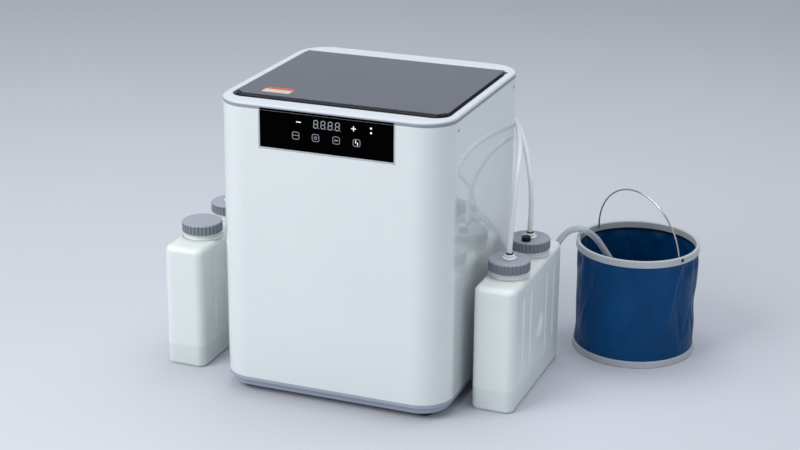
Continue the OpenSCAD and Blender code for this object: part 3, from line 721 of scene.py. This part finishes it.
def make_lid():
    box = (lid_lo[0], lid_hi[0], lid_lo[1], lid_hi[1])
    radii = (22, 1.2, 1.2, 22)
    low = lid_lo[2]
    top = sheet_lo[2]
    profile = [(1.0, low), (0.3, low + 0.3), (0, low + 1.0), (0, 514.6), (0.5, 515.5), (1.5, 516.0),
               (5.2, 516.6), (5.9, 517.0), (6.2, 518.2), (6.8, top)]
    rings = []
    for inset, z in profile:
        side_inset = min(inset, 1.4 + inset * 0.1)
        flat = rounded(box[0] + side_inset, box[1] - side_inset, box[2] + inset, box[3] - min(inset, 1.0),
                       [max(r - inset, 0.6) for r in radii], 14)
        rings.append([(x, y, z) for x, y in flat])
    for inset, z in ((0, top), (0, low)):
        rings.append(inset_ring((-155, 155, -130, 115), 3, inset, z, 14))
    verts, faces, _ = loft(rings, closed=True)
    build("lid_rim", verts, faces, "lid", "black_plastic", [BLACK], replaces=["lid_frame"])

    x0, x1, y0, y1 = sheet_lo[0], sheet_hi[0], sheet_lo[1], sheet_hi[1]
    z0, z1 = sheet_lo[2], sheet_hi[2]
    bevel = 14
    outline = [(x0 + bevel, y0), (x1 - bevel, y0), (x1, y0 + bevel), (x1, y1), (x0, y1), (x0, y0 + bevel)]

    def shrunk(inset, z):
        cx, cy = (x0 + x1) / 2, (y0 + y1) / 2
        sx, sy = 1 - inset / (x1 - cx), 1 - inset / (y1 - cy)
        return [(cx + (x - cx) * sx, cy + (y - cy) * sy, z) for x, y in outline]

    rings = [shrunk(0.2, z0), shrunk(0, z0 + 0.2), shrunk(0, z1 - 0.7), shrunk(0.2, z1 - 0.2),
             shrunk(0.7, z1)]
    verts, faces, _ = loft(rings)
    build("lid_sheet_plate", verts, faces, "lid", "lid_sheet", [LID_SHEET], replaces=["lid_panel"])

    rings = []
    for z, inset in ((z1 - 0.05, 0), (z1 + 0.1, 0), (z1 + 0.16, 0.25)):
        rings.append(inset_ring((-145, -95, -136, -106), 2, inset, z, 4))
    verts, faces, _ = loft(rings)
    build("lid_label", verts, faces, "lid", "lid_sheet", [BEIGE], weighted=False)
    strip = []
    for z, inset in ((z1 - 0.04, 0), (z1 + 0.19, 0), (z1 + 0.24, 0.2)):
        strip.append(inset_ring((-145.05, -94.95, -118, -105.95), 2, inset, z, 4))
    verts, faces, _ = loft(strip)
    build("lid_label_band", verts, faces, "lid", "lid_sheet", [RED], weighted=False)


make_lid()

# ------------------------------------------------------------------- tanks

TANK_R = 15
TANK_H = 221
NECK_AT = 57.4


def middle_of(node):
    """The centre of a CAD node's box, seen from above."""
    lo, hi = node_mm(node)
    return (lo[0] + hi[0]) / 2, (lo[1] + hi[1]) / 2


LEFT_TANK = middle_of("left_tank")
RIGHT_TANK = middle_of("right_tank")
TANK_W = node_mm("left_tank")[1][0] - node_mm("left_tank")[0][0]
TANK_L = node_mm("left_tank")[1][1] - node_mm("left_tank")[0][1]


def smoothstep(a, b, x):
    t = max(0.0, min(1.0, (x - a) / (b - a)))
    return t * t * (3 - 2 * t)


def panel_depth(along, z):
    """How far a tank's long side is pressed in, at a place along it and a height."""
    depth = 0.0
    for at, low in ((-88, 60), (-45, 52), (45, 52), (88, 60)):
        across = math.exp(-((along - at) / 3.2) ** 2)
        span = smoothstep(low - 8, low + 4, z) * (1 - smoothstep(186, 200, z))
        depth += 2.4 * across * span
    ring = math.hypot(along - 5, z - 113)
    depth += 5.0 * (1 - smoothstep(15, 27, ring))
    return depth


def make_tank(name, centre, replaced):
    half_w = TANK_W / 2
    half_l = TANK_L / 2
    outline = []
    corner = [(half_w - TANK_R, half_l - TANK_R, 0), (-(half_w - TANK_R), half_l - TANK_R, 90),
              (-(half_w - TANK_R), -(half_l - TANK_R), 180), (half_w - TANK_R, -(half_l - TANK_R), 270)]
    side_steps = (17, 98, 17, 98)
    for (cx, cy, start), steps in zip(corner, side_steps):
        for i in range(11):
            a = math.radians(start + 9 * i)
            outline.append((cx + TANK_R * math.cos(a), cy + TANK_R * math.sin(a),
                            math.cos(a), math.sin(a)))
        end = outline[-1]
        nx, ny = round(end[2]), round(end[3])
        length = 2 * ((half_l if nx else half_w) - TANK_R)
        for i in range(1, steps):
            t = length * i / steps
            outline.append((end[0] - ny * t, end[1] + nx * t, nx, ny))
    levels = [(6 - 6 * math.sin(a), 6 - 6 * math.cos(a)) for a in
              (math.radians(15 * i) for i in range(7))]
    levels += [(0, 6 + (TANK_H - 16 - 6) * i / 66) for i in range(1, 67)]
    levels += [(10 - 10 * math.cos(a), TANK_H - 10 + 10 * math.sin(a)) for a in
               (math.radians(10 * i) for i in range(10))]
    rings = []
    for inset, z in levels:
        ring = []
        for x, y, nx, ny in outline:
            push = inset
            if abs(nx) > 0.99:
                push += panel_depth(y, z)
            wave = 0.5 * noise.noise(Vector((x * 0.02, y * 0.02, z * 0.02)))
            push -= wave * smoothstep(10, 40, z) * (1 - smoothstep(TANK_H - 30, TANK_H - 12, z))
            ring.append((centre[0] + x - nx * push, centre[1] + y - ny * push, z))
        rings.append(ring)
    parts = [loft(rings)[:2]]
    for s in (-1, 1):
        profile = [(36, TANK_H - 0.4), (34.2, TANK_H + 0.2), (33.3, TANK_H + 1.4), (32.9, TANK_H + 3.2),
                   (32.2, TANK_H + 3.9), (31, TANK_H + 4.4), (30.6, TANK_H + 20), (29.5, TANK_H + 24),
                   (27, TANK_H + 24), (27, TANK_H - 2)]
        parts.append(lathe(centre[0], centre[1] + s * NECK_AT, profile, 72, False, False))
    build(name, *joined(*parts), "station", "tank_plastic", [TANK], replaces=[replaced],
          smooth_angle=60, weighted=False)


def make_cap(name, x, y, body, replaced, hole):
    low, high = node_mm(replaced)[0][2], node_mm(replaced)[1][2]
    per_rib = 10
    n = 32 * per_rib
    r = 36.0

    def knurled(radius, z, depth):
        ring = []
        for i in range(n):
            phase = (i % per_rib) / per_rib
            groove = depth * (0.5 - 0.5 * math.cos(2 * math.pi * phase)) ** 1.5
            a = 2 * math.pi * i / n
            ring.append((x + (radius - groove) * math.cos(a), y + (radius - groove) * math.sin(a), z))
        return ring

    rings = [circle_ring(x, y, 31.4, high - 2.6, n), circle_ring(x, y, 31.4, low, n),
             circle_ring(x, y, 33.2, low, n), knurled(r - 0.4, low + 0.6, 1.6),
             knurled(r, low + 1.4, 2.4), knurled(r, high - 4.2, 2.4), knurled(r - 0.15, high - 3.0, 1.7),
             knurled(r - 0.6, high - 1.6, 0.35), circle_ring(x, y, r - 1.3, high - 0.6, n),
             circle_ring(x, y, r - 2.4, high - 0.05, n), circle_ring(x, y, r - 3.4, high, n),
             circle_ring(x, y, 28.5, high, n), circle_ring(x, y, 28.0, high - 0.3, n)]
    if hole:
        rings += [circle_ring(x, y, 8.1, high - 0.3, n), circle_ring(x, y, 8.1, high - 2.6, n)]
    verts, faces, owner = loft(rings, False, not hole)
    if hole:
        top = len(rings) - 1
        faces += [(top * n + i, top * n + (i + 1) % n, (i + 1) % n, i) for i in range(n)]
    else:
        faces.append(tuple(range(n)))
    # The knurled band's faces get the darker copy: painted shade down the cap's side.
    shaded_grip = [1 if 3 <= ring < 6 else 0 for ring in owner] + [0] * (len(faces) - len(owner))
    build(name, verts, faces, body, "cap_grey", [CAP_SHEEN_TOP, CAP_SHADED_GRIP], shaded_grip, replaces=[replaced],
          smooth_angle=50)


def make_fitting(name, x, y, replaced):
    low = node_mm(replaced)[0][2]
    top = node_mm("left_rear_cap")[1][2]
    end = node_mm(replaced)[1][2]
    hexagon = []
    for inset, z in ((0.6, top + 3), (0, top + 3.5), (0, top + 6.4), (1.0, top + 7.4)):
        hexagon.append([(x + (9.4 - inset) * math.cos(math.radians(60 * k + 30 + d)),
                         y + (9.4 - inset) * math.sin(math.radians(60 * k + 30 + d)), z)
                        for k in range(6) for d in (-4, 4)])
    stem = [(7.9, low), (7.9, top), (11.6, top + 0.02), (12, top + 0.4), (12, top + 2.0),
            (11.3, top + 2.7), (9.8, top + 3.0), (8.2, top + 3.1), (7.9, top + 7.4), (6.6, top + 7.9)]
    white = joined(loft(hexagon)[:2], lathe(x, y, stem, 48))
    build(name, *white, "station", "fitting_white", [FITTING], replaces=[replaced])
    collar = [(5.8, top + 7.2), (6.5, top + 7.6), (6.6, end - 0.7), (6.1, end - 0.1), (5.2, end)]
    build(name + "_collet", *lathe(x, y, collar, 48), "station", "black_plastic", [BLACK])


make_tank("left_tank_body", LEFT_TANK, "left_tank")
make_tank("right_tank_body", RIGHT_TANK, "right_tank")
make_cap("cap_left_front", LEFT_TANK[0], LEFT_TANK[1] - NECK_AT, "cap", "left_front_cap", False)
for side, tank, s, node in (("left_rear", LEFT_TANK, 1, "left_rear"),
                            ("right_front", RIGHT_TANK, -1, "right_front"),
                            ("right_rear", RIGHT_TANK, 1, "right_rear")):
    make_cap("cap_" + side, tank[0], tank[1] + s * NECK_AT, "station", node + "_cap", True)
    make_fitting("fitting_" + side, tank[0], tank[1] + s * NECK_AT, node + "_fitting")


def make_vent():
    x, y = middle_of("vent_plug")
    low, top = (corner[2] for corner in node_mm("vent_plug"))
    profile = [(3, low), (3, top - 7.8), (7.4, top - 7.8), (8, top - 7.2), (8, top - 4.4),
               (7.6, top - 4.1), (7.6, top - 3.7), (8, top - 3.4), (8, top - 0.9), (7.7, top - 0.3),
               (7, top)]
    build("vent_plug_body", *lathe(x, y, profile, 36), "vent", "black_plastic", [BLACK],
          replaces=["vent_plug"])


make_vent()

# ------------------------------------------------------------------ bucket

top_lo, top_hi = node_mm("bucket_top_ring")
BUCKET = middle_of("bucket_top_ring")
RING_R = (top_hi[0] - top_lo[0]) / 2
RING_IN = RING_R - 6.5
WALL_LOW = node_mm("bucket_wall")[0][2]
WALL_TOP = node_mm("bucket_wall")[1][2]


def band_ring(name, z0, z1, body, replaced):
    r0, r1 = RING_IN, RING_R
    profile = []
    for r, z in ((r1, z0), (r1, z1), (r0, z1), (r0, z0)):
        sr = 1 if r == r1 else -1
        sz = 1 if z == z1 else -1
        start = {(1, -1): -90, (1, 1): 0, (-1, 1): 90, (-1, -1): 180}[(sr, sz)]
        for i in range(5):
            a = math.radians(start + 22.5 * i)
            profile.append((r - sr * 1.4 + 1.4 * math.cos(a), z - sz * 1.4 + 1.4 * math.sin(a)))
    rings = [circle_ring(BUCKET[0], BUCKET[1], r, z, 160) for r, z in profile]
    verts, faces, _ = loft(rings, closed=True)
    return build(name, verts, faces, body, "ring_grey", [RING], replaces=[replaced])


def make_dark_band():
    """A thin black band round the cloth's edge, just under the top ring."""
    z = top_lo[2]
    profile = [(RING_IN - 0.5, z - 2.4), (RING_IN - 1.1, z - 1.8), (RING_IN - 1.1, z - 0.4),
               (RING_IN - 0.5, z + 0.1), (RING_IN + 1.6, z + 0.1), (RING_IN + 1.6, z - 2.4)]
    build("bucket_dark_band", *lathe(*BUCKET, profile, 160, False, False), "bucket_ring", "black_plastic",
          [BLACK])


def make_bail():
    z = top_hi[2] - 5
    r = RING_IN - 3
    turn, lean = math.radians(-31), math.radians(6)
    e = Vector((math.cos(turn), math.sin(turn), 0))
    n = Vector((math.sin(turn), -math.cos(turn), 0))
    up = math.sin(lean) * n + math.cos(lean) * Vector((0, 0, 1))
    centre = Vector((BUCKET[0], BUCKET[1], z))
    line = []
    for i in range(97):
        a = math.pi * i / 96
        line.append(centre + r * (math.cos(a) * e + math.sin(a) * up))
    line = [centre + (RING_R - 2) * e, centre + (r + 2.4) * e, centre + (r + 0.9) * e + 0.5 * up] \
        + line[2:-2] + [centre - (r + 0.9) * e + 0.5 * up, centre - (r + 2.4) * e,
                        centre - (RING_R - 2) * e]
    rings = [[tuple(v) for v in ring] for ring in swept(line, 1.5, 14)]
    verts, faces, _ = loft(rings)
    build("bail_wire", verts, faces, "bucket_bail", "stainless", [WIRE], replaces=["bail"],
          weighted=False)
    heads = []
    for s in (-1, 1):
        base = centre + s * e * (RING_R - 0.15)
        for radius, out in ((3.2, 0), (3.2, 0.7), (2.6, 1.1)):
            heads.append((base + s * e * out, radius))
    parts = []
    side = Vector((0, 0, 1))
    for s in (0, 3):
        rings = []
        for point, radius in heads[s:s + 3]:
            rings.append([tuple(point + radius * (math.cos(a) * n + math.sin(a) * side))
                          for a in (2 * math.pi * k / 24 for k in range(24))])
        parts.append(loft(rings)[:2])
    build("bail_screw_heads", *joined(*parts), "bucket_ring", "zinc_screws", [BLACK],
          replaces=["bail_screws"])


def make_fabric():
    """The bucket's wall: cloth settles between the rings, and creases are pressed into it after."""
    around, up = 128, 38
    radius = RING_R - 3.4
    twist = math.radians(7)
    spare = 1.05
    fullness = 1.01
    crease_count = 30
    creases = []
    for k in range(crease_count):
        at = 2 * math.pi * (k + random.uniform(-0.4, 0.4)) / crease_count
        slope = random.choice((-1, 1, 1)) * random.uniform(0.25, 0.75)
        middle = random.uniform(0.25, 0.75)
        creases.append((at, slope, middle, random.uniform(0.16, 0.34), random.uniform(0.022, 0.05),
                        random.choice((-1, 1)) * random.uniform(1.2, 3.0)))
    quads = [(j * around + i, j * around + (i + 1) % around, (j + 1) * around + (i + 1) % around,
              (j + 1) * around + i) for j in range(up) for i in range(around)]

    def grid(height, turned, rough, wide=1.0):
        points = []
        for j in range(up + 1):
            t = j / up
            for i in range(around):
                a = 2 * math.pi * i / around + turned * t
                seed = noise.noise(Vector((2.4 * math.cos(a), 2.4 * math.sin(a), 3 * t)))
                lean = math.sin(9 * a + 5 * t) * noise.noise(Vector((math.cos(a), math.sin(a), 5)))
                gather = math.cos(17 * a) * math.exp(-((t - 0.9) / 0.09) ** 2)
                r = radius * wide + rough * ((seed + 0.8 * lean) * math.sin(math.pi * t) - 0.35 * gather)
                points.append((BUCKET[0] + r * math.cos(a), BUCKET[1] + r * math.sin(a),
                               WALL_LOW + height * t))
        return points

    def folded(x, y, z):
        """A point of the cloth, moved in or out by its creases and the gathers under the ring."""
        a = math.atan2(y - BUCKET[1], x - BUCKET[0])
        t = (z - WALL_LOW) / height
        out = 0
        for at, slope, middle, reach, width, depth in creases:
            away = (a - at - slope * (t - middle) + math.pi) % (2 * math.pi) - math.pi
            out += depth * math.exp(-(away / width) ** 2 - ((t - middle) / reach) ** 2)
        scallop = abs(math.sin(6.5 * a + 0.9 * math.sin(2 * a)))
        out -= 3.4 * (1 - scallop) * math.exp(-((t - 0.91) / 0.07) ** 2)
        out *= smoothstep(0, 0.08, t) * (1 - smoothstep(0.93, 1, t))
        r = math.hypot(x - BUCKET[0], y - BUCKET[1])
        scale = min(max(r + out, RING_IN - 7), RING_R + 3) / r
        return BUCKET[0] + (x - BUCKET[0]) * scale, BUCKET[1] + (y - BUCKET[1]) * scale, z

    height = WALL_TOP - WALL_LOW
    piece = build("bucket_fabric", grid(height, twist, 5.0), quads, "station", "bucket_fabric",
                  [FABRIC], replaces=["bucket_wall"], smooth_angle=180, weighted=False)
    rest = grid(height * spare, 0, 0, fullness)
    piece.shape_key_add(name="Basis")
    flat = piece.shape_key_add(name="flat")
    for point, target in zip(flat.data, rest):
        point.co = place(*target)
    pinned = piece.vertex_groups.new(name="pinned")
    pinned.add([i for i in range(around)] + [up * around + i for i in range(around)], 1, "ADD")
    cloth = piece.modifiers.new("cloth", "CLOTH")
    cloth.settings.quality = 6
    cloth.settings.mass = 0.25
    cloth.settings.tension_stiffness = 40
    cloth.settings.compression_stiffness = 40
    cloth.settings.shear_stiffness = 20
    cloth.settings.bending_stiffness = 4
    cloth.settings.air_damping = 3
    cloth.settings.vertex_group_mass = "pinned"
    cloth.settings.rest_shape_key = flat
    cloth.settings.effector_weights.gravity = 0.3
    cloth.point_cache.frame_end = 40
    scene = bpy.context.scene
    for step in range(1, 31):
        scene.frame_set(step)
    bpy.context.view_layer.update()
    evaluated = piece.evaluated_get(bpy.context.evaluated_depsgraph_get())
    settled = [tuple(v.co) for v in evaluated.data.vertices]
    piece.modifiers.clear()
    piece.shape_key_clear()
    scene.frame_set(1)
    for vertex, co in zip(piece.data.vertices, settled):
        vertex.co = co
    smooth = piece.modifiers.new("smooth", "SUBSURF")
    smooth.levels = 2
    smooth.render_levels = 2
    apply_modifiers(piece)
    for vertex in piece.data.vertices:
        x, y, z = vertex.co / MM
        vertex.co = place(*folded(x - CENTRE_X / MM, y - CENTRE_Y / MM, z))
    solid = piece.modifiers.new("thickness", "SOLIDIFY")
    solid.thickness = 0.0008
    solid.offset = 0
    apply_modifiers(piece)
    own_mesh(piece)


def make_base_cloth():
    rings = []
    for k in range(1, 41):
        r = RING_IN * k / 40
        rings.append([(BUCKET[0] + r * math.cos(a), BUCKET[1] + r * math.sin(a),
                       4.2 + 0.9 * noise.noise(Vector((r * math.cos(a) * 0.03, r * math.sin(a) * 0.03, 2)))
                       * (1 - (k / 40) ** 4)) for a in (2 * math.pi * i / 96 for i in range(96))])
    verts, faces, _ = loft(rings, True, False)
    piece = build("bucket_base_cloth", verts, faces, "station", "bucket_fabric", [FABRIC],
                  replaces=["bucket_base"], smooth_angle=180, weighted=False)
    solid = piece.modifiers.new("thickness", "SOLIDIFY")
    solid.thickness = 0.0008
    apply_modifiers(piece)


band_ring("bucket_ring_bottom", 0, node_mm("bucket_bottom_ring")[1][2], "station", "bucket_bottom_ring")
band_ring("bucket_ring_top", top_lo[2], top_hi[2], "bucket_ring", "bucket_top_ring")
make_dark_band()
make_bail()
make_fabric()
make_base_cloth()

# ---------------------------------------------- CAD pieces that stay as they are

FINISHES = {
    "display_board": BOARD, "main_board": BOARD, "rear_panel": REAR, "fan_frame": BLACK,
    "fan_rotor": BLACK, "power_inlet": BLACK, "switch_frame": BLACK, "switch_rocker": RED,
    "hinge_pins": ZINC, "wash_tub": STEEL, "tub_gasket": RUBBER, "hanger_rails": STEEL,
    "plate_hanger": ALLOY, "impeller": PUMP, "impeller_axle": STEEL, "drive_motor": MOTOR,
    "drive_rotor": MOTOR, "drain_pump": PUMP, "fill_pump": PUMP, "pump_bracket": STEEL,
    "valve_block": BRASS, "drain_pipe": FITTING, "fill_pipe": FITTING, "power_supply": ALLOY,
    "shell_screws": ZINC, "panel_screws": ZINC, "supply_ports": FITTING, "drain_port": FITTING,
    "left_front_liner": FITTING, "dip_tubes": FITTING,
}
SOFTENED = {"rear_panel": 0.4, "power_inlet": 0.5, "switch_frame": 0.5, "switch_rocker": 0.6,
            "plate_hanger": 0.6, "power_supply": 1.0, "pump_bracket": 0.4, "valve_block": 0.8,
            "fan_frame": 0.5}


def finish_cad_nodes():
    for name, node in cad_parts.items():
        if node.hide_render:
            continue
        material = FINISHES[name]
        node.data.materials.clear()
        node.data.materials.append(material)
        if name in SOFTENED:
            bevel = node.modifiers.new("edges", "BEVEL")
            bevel.width = SOFTENED[name] * MM
            bevel.segments = 2
            bevel.limit_method = "ANGLE"
            bevel.angle_limit = math.radians(50)


finish_cad_nodes()

# ------------------------------------------------------------------- stage


def make_stage():
    floor_mesh = bpy.data.meshes.new("floor")
    size = 9
    floor_mesh.from_pydata([(-size, -size, 0), (size, -size, 0), (size, size, 0), (-size, size, 0)],
                           [], [(0, 1, 2, 3)])
    floor = bpy.data.objects.new("floor", floor_mesh)
    bpy.context.collection.objects.link(floor)
    n = Nodes("floor_pale")
    n.link(n.ramp(n.noise(0.4, 2), [(0.3, (0.56, 0.585, 0.64)), (0.7, (0.60, 0.625, 0.68))]),
           n.shader.inputs["Base Color"])
    n.set(Roughness=0.75, Specular_IOR_Level=0.2)
    floor_mesh.materials.append(n.material)


def area_light(name, at, aim, width, height, power, colour=(1, 1, 1)):
    data = bpy.data.lights.new(name, "AREA")
    data.shape = "RECTANGLE"
    data.size = width
    data.size_y = height
    data.energy = power
    data.color = colour
    light = bpy.data.objects.new(name, data)
    bpy.context.collection.objects.link(light)
    light.location = at
    light.rotation_euler = (Vector(at) - Vector(aim)).to_track_quat("Z", "Y").to_euler()


def make_lights():
    middle = (0, 0, 0.25)
    area_light("key_softbox", (-1.8, -2.5, 2.5), middle, 2.4, 2.4, 88, (1.0, 0.995, 0.98))
    area_light("fill_softbox", (2.8, -0.7, 1.7), middle, 2.4, 1.8, 10, (0.94, 0.965, 1.0))
    area_light("top_softbox", (0.1, 0.5, 3.0), middle, 2.4, 1.8, 40)
    world = bpy.data.worlds.new("pale_world")
    world.use_nodes = True
    world.node_tree.nodes["Background"].inputs["Color"].default_value = (0.80, 0.84, 0.90, 1)
    world.node_tree.nodes["Background"].inputs["Strength"].default_value = 0.50
    bpy.context.scene.world = world


make_stage()
make_lights()
bpy.context.scene.view_settings.view_transform = "Standard"
